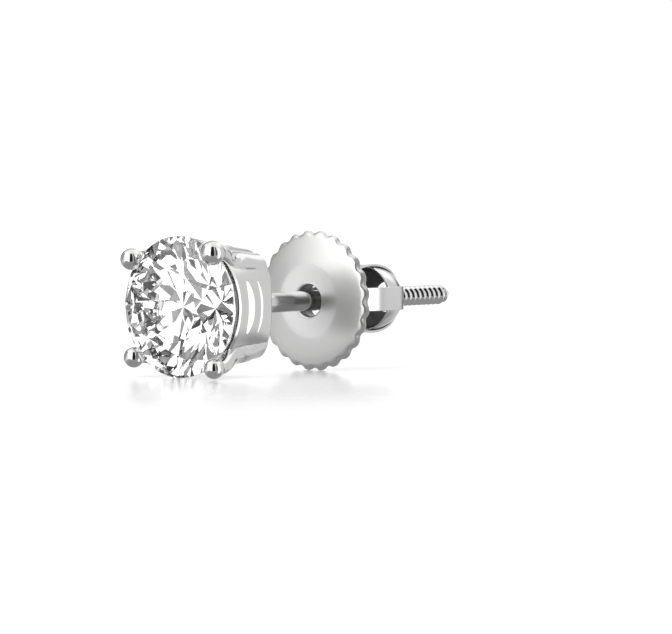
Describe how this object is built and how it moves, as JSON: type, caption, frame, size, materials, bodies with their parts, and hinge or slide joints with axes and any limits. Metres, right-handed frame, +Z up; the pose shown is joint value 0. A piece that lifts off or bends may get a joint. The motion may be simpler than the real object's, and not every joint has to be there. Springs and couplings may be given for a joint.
{
  "type": "screw-back ear stud",
  "caption": "Solitaire ear stud: a round brilliant-cut clear stone in a clawed white-metal basket, with a threaded post and a scalloped screw-back nut.",
  "frame": {"origin": "on the surface that the stud lies on, under the middle of its length", "axes": "+Y along the post, away from the stone; +Z up; the stone's table faces -Y"},
  "size_m": [0.0052, 0.0164, 0.0052],
  "materials": {
    "clear_stone": "polished facets",
    "white_gold": "mirror polish"
  },
  "bodies": {
    "stud": {"stone": "clear_stone", "setting": "white_gold"},
    "nut": {"screw_back": "white_gold"}
  },
  "joints": [
    {"name": "nut_travel", "type": "slide", "parent": "stud", "child": "nut", "axis": [0, 1, 0], "range_m": [-0.0024, 0.008]}
  ]
}
